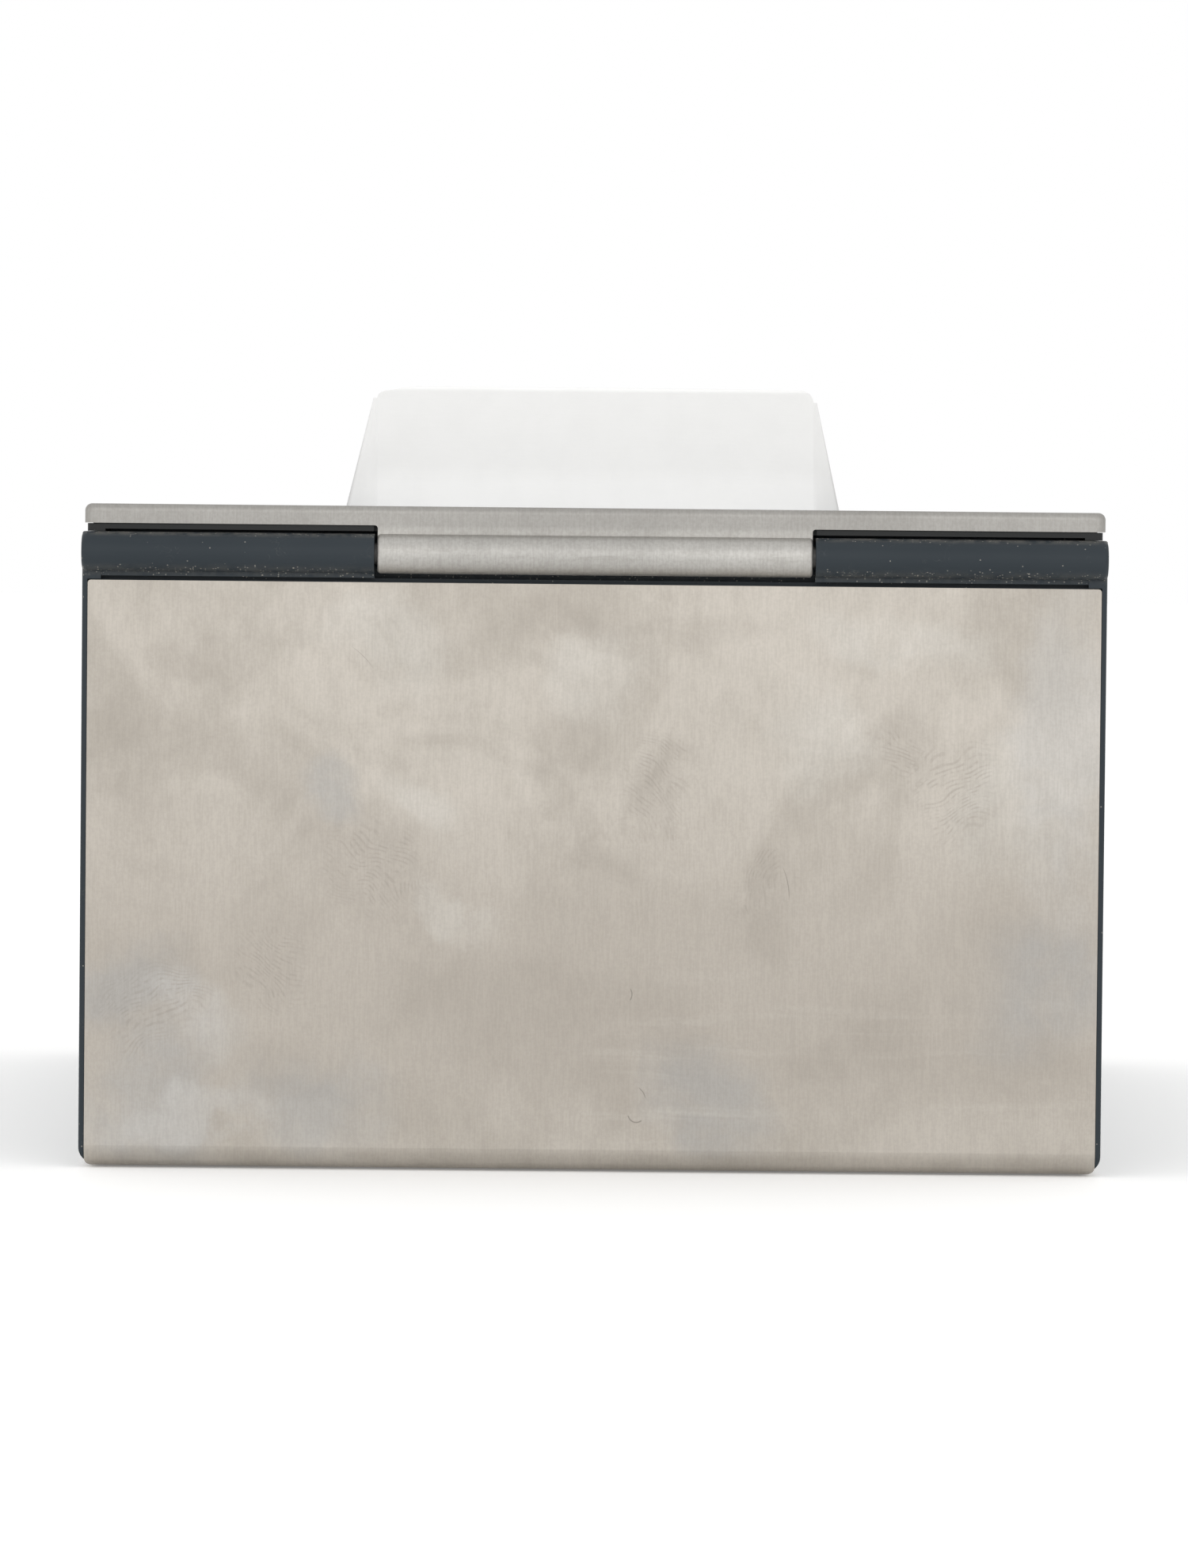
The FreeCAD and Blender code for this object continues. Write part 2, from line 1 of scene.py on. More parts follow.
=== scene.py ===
import json
import math
import random

import bmesh
import bpy
from mathutils import Matrix, Quaternion, Vector, noise


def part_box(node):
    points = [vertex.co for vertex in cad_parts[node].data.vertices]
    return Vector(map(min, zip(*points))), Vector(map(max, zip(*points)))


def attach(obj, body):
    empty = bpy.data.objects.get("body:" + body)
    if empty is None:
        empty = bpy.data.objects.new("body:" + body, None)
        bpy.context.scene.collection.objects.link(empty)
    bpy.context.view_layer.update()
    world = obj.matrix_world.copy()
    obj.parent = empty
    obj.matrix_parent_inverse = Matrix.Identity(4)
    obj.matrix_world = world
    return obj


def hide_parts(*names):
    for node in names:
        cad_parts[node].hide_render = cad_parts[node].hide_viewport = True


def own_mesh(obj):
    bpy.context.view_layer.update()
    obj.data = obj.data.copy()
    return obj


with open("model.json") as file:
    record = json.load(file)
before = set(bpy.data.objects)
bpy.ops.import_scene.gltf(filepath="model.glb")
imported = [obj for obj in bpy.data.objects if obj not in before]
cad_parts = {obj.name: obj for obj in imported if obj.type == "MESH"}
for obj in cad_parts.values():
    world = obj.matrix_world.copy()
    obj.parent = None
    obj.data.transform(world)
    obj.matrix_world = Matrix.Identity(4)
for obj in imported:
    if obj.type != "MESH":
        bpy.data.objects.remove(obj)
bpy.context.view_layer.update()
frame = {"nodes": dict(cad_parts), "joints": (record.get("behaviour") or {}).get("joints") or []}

# Looks of the napkin dispenser, in metres in the CAD's frame. The hinge side faces -Y.

MM = 0.001
WHITE = (1, 1, 1, 1)
STACK_LOW, STACK_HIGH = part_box("napkin_stack")
TAIL_LOW, TAIL_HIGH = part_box("napkin_tail")
HINGE = Vector(next(j["pos_m"] for j in frame["joints"] if j["name"] == "lid_hinge"))
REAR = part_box("body_skin")[0].y
KNUCKLE_R = 2.2 * MM
CREST = HINGE.z + KNUCKLE_R  # the top of the hinge knuckles
FLANGE_Z = 72.2 * MM  # the lid's flange is above it
RIDGE_GAP = 0.5  # millimetres between a fingerprint's ridges

CAMERA_BACK = 0.8  # from the rear plate
CAMERA_SIDE = 0.00013
CAMERA_HEIGHT = 0.07244
CAMERA_AIM_HEIGHT = 0.04344
CAMERA_LENS = 165
CAMERA_ROLL = 0.56  # degrees


def add_camera():
    data = bpy.data.cameras.new("camera")
    data.lens = CAMERA_LENS
    data.sensor_width = 36
    data.clip_start = 0.01
    camera = bpy.data.objects.new("camera", data)
    place = Vector((CAMERA_SIDE, REAR - CAMERA_BACK, CAMERA_HEIGHT))
    aim = Vector((CAMERA_SIDE, REAR, CAMERA_AIM_HEIGHT))
    turn = (aim - place).to_track_quat("-Z", "Y")
    turn = turn @ Quaternion((0, 0, 1), math.radians(CAMERA_ROLL))
    camera.matrix_world = Matrix.Translation(place) @ turn.to_matrix().to_4x4()
    bpy.context.scene.collection.objects.link(camera)
    bpy.context.scene.camera = camera


# ---- nodes


class Tree:
    """Short calls that build one material's nodes."""

    def __init__(self, name):
        self.material = bpy.data.materials.new(name)
        self.material.use_nodes = True
        self.tree = self.material.node_tree
        self.shader = self.tree.nodes["Principled BSDF"]
        self.place = self.add("ShaderNodeTexCoord").outputs["Object"]

    def add(self, kind, inputs=None, **settings):
        node = self.tree.nodes.new(kind)
        for key, value in settings.items():
            setattr(node, key, value)
        for key, value in (inputs or {}).items():
            self.put(node.inputs[key], value)
        return node

    def put(self, socket, value):
        if isinstance(value, bpy.types.NodeSocket):
            self.tree.links.new(value, socket)
        else:
            socket.default_value = value

    def math(self, operation, a, b=0.0):
        return self.add("ShaderNodeMath", {0: a, 1: b}, operation=operation).outputs[0]

    def times(self, a, b):
        return self.math("MULTIPLY", a, b)

    def plus(self, a, b):
        return self.math("ADD", a, b)

    def most(self, a, b):
        return self.math("MAXIMUM", a, b)

    def vector(self, operation, a, b=(0, 0, 0)):
        node = self.add("ShaderNodeVectorMath", {0: a, 1: b}, operation=operation)
        scalar = operation in ("LENGTH", "DISTANCE", "DOT_PRODUCT")
        return node.outputs["Value" if scalar else "Vector"]

    def stretched(self, x, y, z, shift=(0, 0, 0)):
        inputs = {"Vector": self.place, "Scale": (x, y, z), "Location": shift}
        return self.add("ShaderNodeMapping", inputs).outputs[0]

    def noise(self, scale, detail=2.0, rough=0.5, vector=None, distortion=0.0):
        inputs = {"Scale": scale, "Detail": detail, "Roughness": rough, "Distortion": distortion}
        inputs["Vector"] = self.place if vector is None else vector
        return self.add("ShaderNodeTexNoise", inputs).outputs["Fac"]

    def ramp(self, value, low, high, to_low=0.0, to_high=1.0):
        inputs = {"Value": value, "From Min": low, "From Max": high}
        inputs.update({"To Min": to_low, "To Max": to_high})
        return self.add("ShaderNodeMapRange", inputs, interpolation_type="SMOOTHSTEP").outputs[0]

    def mix(self, share, a, b):
        node = self.add("ShaderNodeMix", data_type="RGBA", blend_type="MIX")
        self.put(node.inputs[0], share)
        self.put(node.inputs[6], rgba(a))
        self.put(node.inputs[7], rgba(b))
        return node.outputs[2]

    def axis(self, name):
        return self.add("ShaderNodeSeparateXYZ", {0: self.place}).outputs[name]

    def bump(self, height, distance, strength=1.0):
        inputs = {"Height": height, "Distance": distance, "Strength": strength}
        return self.add("ShaderNodeBump", inputs).outputs[0]

    def finish(self, **inputs):
        for key, value in inputs.items():
            self.put(self.shader.inputs[key.replace("_", " ")], value)
        return self.material


def rgba(colour):
    if isinstance(colour, bpy.types.NodeSocket) or len(colour) == 4:
        return colour
    return (*colour, 1.0)


# ---- materials


def brushed_steel(name, clean, dull, marks=False, rough=0.42, lines=0.17, streaks=0.16):
    """Steel brushed along the blank's length: up the walls, and along Y on level faces.
    With marks it has the rear face's painted low shade, stains, fingerprints and scratches, else
    the lid's painted flange shade and dust."""
    t = Tree(name)
    fine = t.noise(1, 3, 0.7, t.stretched(5200, 480, 480))
    broad = t.noise(1, 2, 0.5, t.stretched(1500, 90, 90, (3, 1, 2)))
    grit = t.noise(2600, 3, 0.65)
    grain = t.plus(t.times(fine, 0.46), t.times(broad, streaks))
    grain = t.plus(grain, t.times(grit, 0.54 - streaks))
    cloud = t.noise(38, 4, 0.58, distortion=1.1)
    film = t.noise(150, 4, 0.65, t.stretched(1.5, 1, 1, (0.3, 0.6, 0.1)), distortion=0.4)
    soil = t.plus(t.ramp(cloud, 0.40, 0.62), t.times(t.ramp(film, 0.34, 0.70), 0.5))
    colour = t.mix(t.times(soil, 0.55), clean, dull)
    line = t.ramp(grain, 0.40, 0.60, 1.0, 0.0)
    rough_here = t.plus(rough, t.times(soil, 0.05))
    if marks:
        # painted shade: the lower walls are darkened towards the bottom
        colour = t.mix(t.times(low_painted_shade(t), 0.88), colour, LOW_SHADE_TONE)
        warped = warped_place(t)
        colour = stained(t, colour, warped)
        colour = t.mix(t.times(wiped(t), 0.22), colour, (0.60, 0.57, 0.525))
        colour = printed(t, colour, warped)
        for nick in NICKS:
            colour = t.mix(scratch(t, *nick), colour, (0.16, 0.145, 0.13))
    else:
        colour = lid_shade_and_dust(t, colour)
    colour = t.mix(t.times(line, lines), colour, (0.20, 0.185, 0.165))
    rough_here = t.plus(rough_here, t.times(grain, 0.06))
    normal = t.bump(grain, 0.000008, 0.6)
    return t.finish(Base_Color=colour, Metallic=1.0, Roughness=rough_here, Normal=normal)


def low_painted_shade(t):
    """Painted shade on the lower part of the walls, weaker near the bend. 1 where it is strongest.
    """
    up = t.axis("Z")
    return t.times(t.ramp(up, 47 * MM, 24 * MM), t.ramp(up, 1 * MM, 13 * MM, 0.15, 1.0))


def wiped(t):
    """Faint pale streaks where the steel was wiped, rising to the right."""
    along = t.add(
        "ShaderNodeMapping",
        {"Vector": t.place, "Rotation": (0, math.radians(14), 0), "Scale": (34, 1, 420)},
    ).outputs[0]
    streak = t.ramp(t.noise(1, 3, 0.6, along, distortion=0.5), 0.52, 0.74)
    low = t.ramp(t.axis("Z"), 30 * MM, 12 * MM)
    return t.times(t.times(streak, low), t.ramp(t.noise(24, 1, 0.5), 0.45, 0.65))


def lid_shade_and_dust(t, colour):
    """Painted shade that darkens the flange and the lid above it, and brownish dust in the groove
    under it and on the barrel's lower half.
    """
    up = t.axis("Z")
    # painted shade: the flange and the lid above it are made darker than the barrel
    colour = t.mix(t.ramp(up, FLANGE_Z - 1 * MM, FLANGE_Z, 0, 0.72), colour, (0.325, 0.315, 0.297))
    patchy = t.ramp(t.noise(420, 4, 0.7), 0.35, 0.65)
    groove = near(t, up, CREST + 0.25 * MM, 0.6 * MM)
    low = t.most(near(t, up, HINGE.z - 1.8 * MM, 1.2 * MM), groove)
    colour = t.mix(t.times(t.times(low, patchy), 0.12), colour, (0.20, 0.165, 0.125))
    smudge = t.ramp(t.noise(1, 3, 0.7, t.stretched(110, 900, 900)), 0.50, 0.66)
    smudge = t.times(smudge, near(t, up, HINGE.z + 0.1 * MM, 1.3 * MM))
    return t.mix(t.times(smudge, 0.25), colour, (0.24, 0.225, 0.20))


def warped_place(t):
    """The place in millimetres, bent a little, so that patches get uneven edges."""
    inputs = {"Vector": t.place, "Scale": 70, "Detail": 5.0, "Roughness": 0.6}
    bend = t.add("ShaderNodeTexNoise", inputs)
    shift = t.vector("SUBTRACT", bend.outputs["Color"], (0.5, 0.5, 0.5))
    shift = t.vector("MULTIPLY", shift, (17, 0, 17))
    return t.vector("ADD", t.vector("MULTIPLY", t.place, (1000, 1000, 1000)), shift)


def patch(t, place, x, z, half_x, half_z, lean, core=0.4, edge=1.2):
    """1 within an ellipse on the rear face, in millimetres, and 0 outside it."""
    local = t.add(
        "ShaderNodeMapping",
        {
            "Vector": place,
            "Location": (x, 0, z),
            "Rotation": (0, math.radians(lean), 0),
            "Scale": (half_x, 1e5, half_z),
        },
        vector_type="TEXTURE",
    ).outputs[0]
    return t.ramp(t.vector("LENGTH", local), edge, core)


def stained(t, colour, warped):
    """Soft patches on the rear face, each kind with its tint."""
    patchy = t.ramp(t.noise(90, 5, 0.62, distortion=0.8), 0.34, 0.58, 0.45, 1.0)
    on_rear = t.times(rear_only(t), patchy)
    for stains, tint, share in STAINS:
        total = None
        for stain in stains:
            here = patch(t, warped, *stain)
            total = here if total is None else t.most(total, here)
        colour = t.mix(t.times(t.times(total, share), on_rear), colour, tint)
    return colour


def printed(t, colour, warped):
    """Fingerprints: even ridges round a core, within a patch that they cover unevenly."""
    broken = t.ramp(t.noise(900, 2, 0.6), 0.40, 0.62)
    wander = t.times(t.noise(170, 1, 0.5), 5.0)
    place = t.vector("MULTIPLY", t.place, (1000, 0, 1000))
    total = None
    for x, z, half_x, half_z, lean, core_x, core_z in PRINTS:
        ring = t.plus(t.vector("DISTANCE", place, (core_x, 0, core_z)), wander)
        wave = t.math("SINE", t.times(ring, 2 * math.pi / RIDGE_GAP))
        here = t.times(t.ramp(wave, -0.2, 0.9), patch(t, warped, x, z, half_x, half_z, lean))
        total = here if total is None else t.most(total, here)
    share = t.times(t.times(total, broken), 0.34)
    return t.mix(t.times(share, rear_only(t)), colour, (0.27, 0.245, 0.215))


def rear_only(t):
    return t.math("LESS_THAN", t.axis("Y"), REAR + 1.5 * MM)


def scratch(t, x, z, radius, start, sweep, width):
    """A short curved scratch: part of a ring about x, z in millimetres. Angles are in degrees."""
    away = t.vector("SUBTRACT", t.vector("MULTIPLY", t.place, (1000, 0, 1000)), (x, 0, z))
    ring = t.math("ABSOLUTE", t.math("SUBTRACT", t.vector("LENGTH", away), radius))
    middle = math.radians(start + sweep / 2)
    along = t.vector("DOT_PRODUCT", away, (math.cos(middle) / radius, 0, math.sin(middle) / radius))
    limit = math.cos(math.radians(sweep / 2))
    within = t.ramp(along, limit - 0.02, limit + 0.02)
    line = t.ramp(ring, width, width * 0.3)
    return t.times(t.times(line, within), t.times(rear_only(t), 0.6))


def moulded(name, colour, light, rough, with_dust_and_crest_sheen=False, spark=0.00001, shine=0.5):
    """Moulded plastic with a fine spark-eroded texture, and, when asked, with dust, lint and a pale
    knuckle-crest band that is partly dust and partly painted highlight.
    """
    t = Tree(name)
    cloud = t.noise(45, 3, 0.5)
    tone = t.mix(t.ramp(cloud, 0.35, 0.7, 0, 0.5), colour, light)
    grit = t.noise(5200, 2, 0.6)
    scuff = t.ramp(t.noise(1, 2, 0.6, t.stretched(150, 700, 700)), 0.60, 0.78, 0, 0.3)
    tone = t.mix(scuff, tone, light)
    rough_here = t.plus(t.times(cloud, 0.12), rough)
    if with_dust_and_crest_sheen:
        film, specks = dust_and_crest_sheen(t)
        # the pale film is dust, and on the knuckle crest also partly painted highlight
        tone = t.mix(film, tone, (0.115, 0.112, 0.102))
        tone = t.mix(specks, tone, (0.34, 0.32, 0.28))
    normal = t.bump(grit, spark, 0.5)
    return t.finish(
        Base_Color=tone, Roughness=rough_here, Specular_IOR_Level=shine, Normal=normal
    )


def near(t, value, middle, half):
    """1 where value is at middle, falling to 0 at half away from it."""
    return t.ramp(t.math("ABSOLUTE", t.math("SUBTRACT", value, middle)), half, 0)


def dust_and_crest_sheen(t):
    """A pale band on the crest of the hinge knuckles that is partly dust and partly painted
    highlight, a thinner dust film at their foot, and specks on the crest, at the foot and
    elsewhere.
    """
    up = t.axis("Z")
    behind = t.math("LESS_THAN", t.axis("Y"), REAR + 3 * MM)
    crest = t.times(near(t, up, CREST, 0.6 * MM), behind)
    foot = t.times(near(t, up, HINGE.z - 2.1 * MM, 1.0 * MM), behind)
    uneven = t.ramp(t.noise(700, 3, 0.6), 0.3, 0.65)
    held = t.most(crest, foot)
    # the crest's share is partly a painted highlight along the knuckle tops and partly dust
    film = t.most(t.times(crest, 0.75), t.times(foot, 0.24))
    film = t.times(film, uneven)
    small = speckle(t, 3600, 0.36, t.plus(t.times(held, 0.34), 0.012))
    large = speckle(t, 1700, 0.22, t.plus(t.times(held, 0.11), 0.006))
    specks = t.most(t.times(small, 0.5), t.times(large, 0.75))
    return film, t.most(specks, t.times(lint(t, held), 0.5))


def lint(t, held):
    """Short curled fibres: thin lines where a warped noise crosses its middle, in a few places."""
    curl = t.noise(620, 1, 0.4, distortion=1.6)
    line = near(t, curl, 0.5, 0.012)
    some = t.ramp(t.noise(300, 1, 0.5, t.stretched(1, 1, 1, (0.2, 0.5, 0.9))), 0.60, 0.66)
    return t.times(t.times(line, some), t.plus(t.times(held, 0.85), 0.12))


def speckle(t, density, size, share):
    """Round specks in a share of the cells, of which there are density to the metre."""
    cells = t.add("ShaderNodeTexVoronoi", {"Vector": t.place, "Scale": density})
    chosen = t.add("ShaderNodeSeparateColor", {0: cells.outputs["Color"]}).outputs[0]
    speck = t.ramp(cells.outputs["Distance"], size, size * 0.6)
    return t.times(speck, t.math("LESS_THAN", chosen, share))


def paper(name, colour, shade):
    """Tissue: short fibres, soft clouds and fine crepe lines."""
    t = Tree(name)
    fibre = t.noise(2600, 4, 0.7, distortion=0.8)
    pulp = t.noise(260, 3, 0.6)
    tone = t.mix(t.ramp(pulp, 0.3, 0.8, 0, 0.7), colour, shade)
    crepe = t.noise(1, 2, 0.5, t.stretched(380, 2100, 2100))
    height = t.plus(t.times(fibre, 0.5), t.times(crepe, 0.7))
    normal = t.bump(height, 0.00003, 0.5)
    return t.finish(
        Base_Color=tone, Roughness=0.93, Specular_IOR_Level=0.25, Sheen_Weight=0.08, Normal=normal
    )


def hardware(name, colour, rough, grain=900):
    """Turned or plated small steel."""
    t = Tree(name)
    lines = t.noise(grain, 3, 0.6)
    tone = t.mix(t.ramp(lines, 0.35, 0.7, 0, 0.6), colour, [c * 0.72 for c in colour])
    rough_here = t.plus(t.times(lines, 0.16), rough)
    normal = t.bump(lines, 0.00001, 0.4)
    return t.finish(Base_Color=tone, Metallic=1.0, Roughness=rough_here, Normal=normal)


def floor_surface():
    """A nearly white floor with a faint glow."""
    t = Tree("floor")
    tone = t.mix(t.noise(9, 3, 0.5), (0.93, 0.93, 0.925), (0.915, 0.915, 0.91))
    return t.finish(
        Base_Color=tone, Roughness=0.6, Emission_Color=WHITE, Emission_Strength=FLOOR_GLOW
    )


SKIN_TONES = ((0.474, 0.439, 0.393), (0.386, 0.355, 0.313))  # clean and dull steel
LID_TONES = ((0.485, 0.473, 0.449), (0.432, 0.421, 0.399))
TUB_TONES = ((0.014, 0.021, 0.027), (0.022, 0.029, 0.035))
# the tone of the painted shade on the lower walls
LOW_SHADE_TONE = (0.400, 0.366, 0.324)
WARM_STAINS = (  # x, height, half width, half height and lean of each, in millimetres and degrees
    (-24.0, 33.5, 9, 7, 25),
    (-36.0, 25.0, 8, 6, -20),
    (-45.0, 48.0, 8, 5, 10),
    (-44.0, 57.0, 7, 2.5, 8),
    (-3.5, 47.0, 4, 6, 0),
    (7.0, 42.5, 5, 5, 0),
    (1.0, 36.5, 5, 2, 25),
    (35.5, 48.5, 5.5, 5, -20),
    (18.0, 32.5, 2.2, 4.5, 15),
    (20.0, 27.0, 3, 4.5, -10),
    (-8.0, 18.0, 19, 8, 10),
    (25.5, 11.5, 5, 3.5, 30),
    (33.0, 16.0, 6, 9, 20),
    (-50.0, 19.0, 7, 5.5, -25),
    (-33.0, 12.0, 6, 3.5, 10),
    (3.0, 61.0, 16, 3, 0),
    (-34.0, 44.5, 9, 5, 10),
    (-29.0, 37.5, 8, 6, 0),
    (46.0, 22.0, 11, 13, 0),
    (49.0, 13.0, 9, 6, 0),
    (-52.0, 44.0, 6, 14, 0),
    (4.0, 13.0, 12, 8, 0),
)
COOL_STAINS = (
    (-29.5, 42.0, 4.2, 4.6, 0),
    (50.5, 21.5, 9, 9, 0),
    (-29.5, 8.0, 8.5, 6, 0),
    (13.0, 9.5, 8, 6, 35),
    (-52.5, 20.0, 6, 6, 0),
    (-49.0, 8.5, 9, 8, 0),
)
PALE_STAINS = (
    (-18.5, 42.0, 5.5, 2.8, 30),
    (1.5, 56.0, 5, 8, 30),
    (26.0, 48.5, 6, 6, 20),
    (46.5, 41.0, 7, 7, 0),
    (-24.0, 59.0, 8, 5, 10),
    (-15.5, 30.5, 7, 2.4, 40),
    (34.0, 60.0, 12, 3.5, 0),
)
CLEAR_STAINS = (
    (53.0, 48.0, 6, 22, 0),
    (-44.5, 16.5, 8, 3.6, 35),
    (-44.0, 6.0, 10, 2.4, -8),
)
STAINS = (
    (PALE_STAINS, (0.538, 0.516, 0.477), 0.42),
    (WARM_STAINS, (0.304, 0.275, 0.240), 0.31),
    (COOL_STAINS, (0.332, 0.337, 0.339), 0.42),
    (CLEAR_STAINS, (0.468, 0.453, 0.432), 0.60),
)
PRINTS = (  # x, height, half width, half height and lean, and the core that the ridges go round
    (-24.5, 33.5, 7, 6, 20, -32.0, 23.0),
    (-36.0, 23.0, 6, 5, -20, -29.0, 32.0),
    (7.0, 42.5, 5, 5.5, 0, 1.0, 34.0),
    (40.0, 44.0, 6, 5, 0, 45.0, 33.0),
    (18.0, 32.0, 2.5, 4, 15, 30.0, 29.0),
    (-50.0, 17.0, 6, 6, 0, -44.0, 6.0),
    (34.0, 46.0, 4, 3, 0, 38.0, 57.0),
)
NICKS = (  # x, height, radius, start, sweep, half width
    (3.6, 20.0, 1.0, -40, 75, 0.09),
    (5.2, 6.6, 0.9, 190, 120, 0.10),
    (4.6, 8.2, 1.6, 10, 45, 0.08),
    (-32.0, 51.0, 9.0, 40, 12, 0.05),
    (14.0, 31.0, 8.0, 0, 22, 0.06),
)


def dress():
    """Every CAD node that stays gets its material."""
    skin = brushed_steel("skin_steel", *SKIN_TONES, marks=True)
    lid = brushed_steel("lid_steel", *LID_TONES, rough=0.50, lines=0.24, streaks=0.05)
    tub = moulded("tub_plastic", *TUB_TONES, 0.50, with_dust_and_crest_sheen=True, shine=0.3)
    liner = moulded("liner_plastic", (0.012, 0.013, 0.013), (0.018, 0.019, 0.019), 0.55, shine=0.35)
    throat = moulded("throat_plastic", (0.020, 0.023, 0.026), (0.028, 0.032, 0.036), 0.40)
    follower = moulded("follower_plastic", (0.05, 0.055, 0.06), (0.07, 0.075, 0.08), 0.45)
    glide = moulded("glide_plastic", (0.62, 0.60, 0.54), (0.70, 0.68, 0.62), 0.35)
    rubber = moulded("rubber", (0.012, 0.012, 0.012), (0.020, 0.020, 0.020), 0.70, spark=0.00003)
    screw = hardware("screw_steel", (0.55, 0.53, 0.50), 0.28)
    # painted shade: the pin gets a near-black tone for the shadow in the gaps beside the lid's tab
    pin = hardware("pin_steel", (0.09, 0.088, 0.085), 0.42, grain=500)
    magnet = hardware("magnet_nickel", (0.62, 0.61, 0.60), 0.12, grain=400)
    worn = {
        "body_skin": skin,
        "lid_skin": lid,
        "body_tub": tub,
        "hinge_pin_plugs": tub,
        "lid_liner": liner,
        "throat_ring": throat,
        "follower_plate": follower,
        "follower_glides": glide,
        "foot_pads": rubber,
        "lid_buffers": rubber,
        "skin_screws": screw,
        "spring_clips": screw,
        "spring_clip_screws": screw,
        "catch_plates": screw,
        "hinge_pin": pin,
        "catch_magnets": magnet,
    }
    for name, material in worn.items():
        materials = frame["nodes"][name].data.materials
        materials.clear()
        materials.append(material)


# ---- napkins

CREASE_Z = TAIL_HIGH.z - 10.9 * MM
FOLD_X = 26.9 * MM  # the tent's two upright folds
TENT_X = -0.15 * MM  # the tent's middle
RIDGE_RIGHT = (10.9, 0.12, 1.4)  # millimetres: the fall's run and height, and the corner's radius
RIDGE_LEFT = (4.8, 0.62, 0.8)
SIDE_SPREAD = (0.252, 0.208)  # how fast the tent's left and right edges leave them, going down
FACE_STEPS = 54
SIDE_STEPS = 16
WALL_STEPS = 64
SKIRT_STEPS = 22
PANEL_STEPS = 26
FOLD_STEPS = 8
PLY = 0.20 * MM
SHEETS = 40
LAYERS = 2 * SHEETS + 2
TOP_LAYER_Z = STACK_HIGH.z - 0.28 * MM
LOWER_LAYER_Z = STACK_HIGH.z - 1.35 * MM


def smooth(value, low, high):
    share = min(max((value - low) / (high - low), 0.0), 1.0)
    return share * share * (3 - 2 * share)


def make_piece(name, points, faces, material, body):
    mesh = bpy.data.meshes.new(name)
    mesh.from_pydata(points, [], faces)
    mesh.materials.append(material)
    shape = bmesh.new()
    shape.from_mesh(mesh)
    bmesh.ops.remove_doubles(shape, verts=shape.verts, dist=0.002 * MM)
    bmesh.ops.recalc_face_normals(shape, faces=shape.faces)
    shape.to_mesh(mesh)
    shape.free()
    for polygon in mesh.polygons:
        polygon.use_smooth = True
    piece = bpy.data.objects.new(name, mesh)
    bpy.context.scene.collection.objects.link(piece)
    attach(piece, body)
    return piece


def thicken(piece, thickness):
    solidify = piece.modifiers.new("thickness", "SOLIDIFY")
    solidify.thickness = thickness
    solidify.offset = 0


def tent_depth(z):
    """Half the tent's thickness at a height: nearly flat above the crease, wider below it."""
    top, foot = TAIL_HIGH.z, TAIL_LOW.z
    if z > CREASE_Z:
        return (0.25 * smooth(top - z, 0, 0.5 * MM) + 1.1 * (top - z) / (top - CREASE_Z)) * MM
    return (1.35 + 2.2 * (CREASE_Z - z) / (CREASE_Z - foot)) * MM


def tent_top(x):
    """The ridge's height: level, and falling softly to its corners."""
    run, slope, radius = RIDGE_RIGHT if x > 0 else RIDGE_LEFT
    inside = FOLD_X - abs(x)
    arc = radius * MM - min(inside, radius * MM)
    fall = slope * MM * smooth(run * MM - inside, 0, run * MM)
    fall += radius * MM - math.sqrt((radius * MM) ** 2 - arc**2)
    return TAIL_HIGH.z - PLY / 2 - fall


def loop_shares():
    """Round the tent once: where across a face, which way it faces, and how far out at a side."""
    loop = []
    for sign in (-1, 1):
        for i in range(FACE_STEPS):
            share = 1 - 2 * i / FACE_STEPS
            loop.append((sign * share * (3 - share * share) / 2, sign, 0.0))
        turns = [1 - 2 * i / SIDE_STEPS for i in range(SIDE_STEPS)]
        loop += [(-sign, sign * turn, 1 - abs(turn)) for turn in turns]
    return loop


def tent_point(across, facing, out, rise):
    x = across * FOLD_X
    z = TAIL_LOW.z + (tent_top(x) - TAIL_LOW.z) * rise
    x += math.copysign(out * (TAIL_HIGH.z - z) * SIDE_SPREAD[x > 0], x)
    near_crease = math.exp(-(((z - CREASE_Z) / (0.45 * MM)) ** 2)) * 0.05 * MM
    depth = tent_depth(z) + near_crease
    ripple = noise.noise(Vector((x * 70, facing * 3, z * 22))) * 0.45 * MM
    ripple += noise.noise(Vector((x * 260, facing * 5, z * 120))) * 0.10 * MM
    ripple *= min(1.0, depth / (1.2 * MM)) * (1 - out)
    lean = noise.noise(Vector((x * 30, 2.0, z * 30))) * 0.25 * MM
    return Vector((x + TENT_X * rise, facing * (depth + ripple) + lean * (1 - rise), z))


def skirt_point(across, facing, out, share, foot):
    """From the tent's foot to the edge of the upper panel."""
    edge = Vector((math.copysign(STACK_HIGH.x, across), facing * STACK_HIGH.y, TOP_LAYER_Z))
    if not out:
        edge.x = across * STACK_HIGH.x
    point = foot.lerp(edge, share)
    away = (point - foot).length
    point.z = TOP_LAYER_Z + (foot.z - TOP_LAYER_Z) * math.exp(-away / (1.6 * MM))
    crease = noise.noise(Vector((math.atan2(point.y, point.x) * 4, away * 12, 1.0)))
    point.z += crease * 0.14 * MM * smooth(share, 0, 0.15) * (1 - 0.6 * share)
    point.xy *= 1 - 0.006 * share
    return point


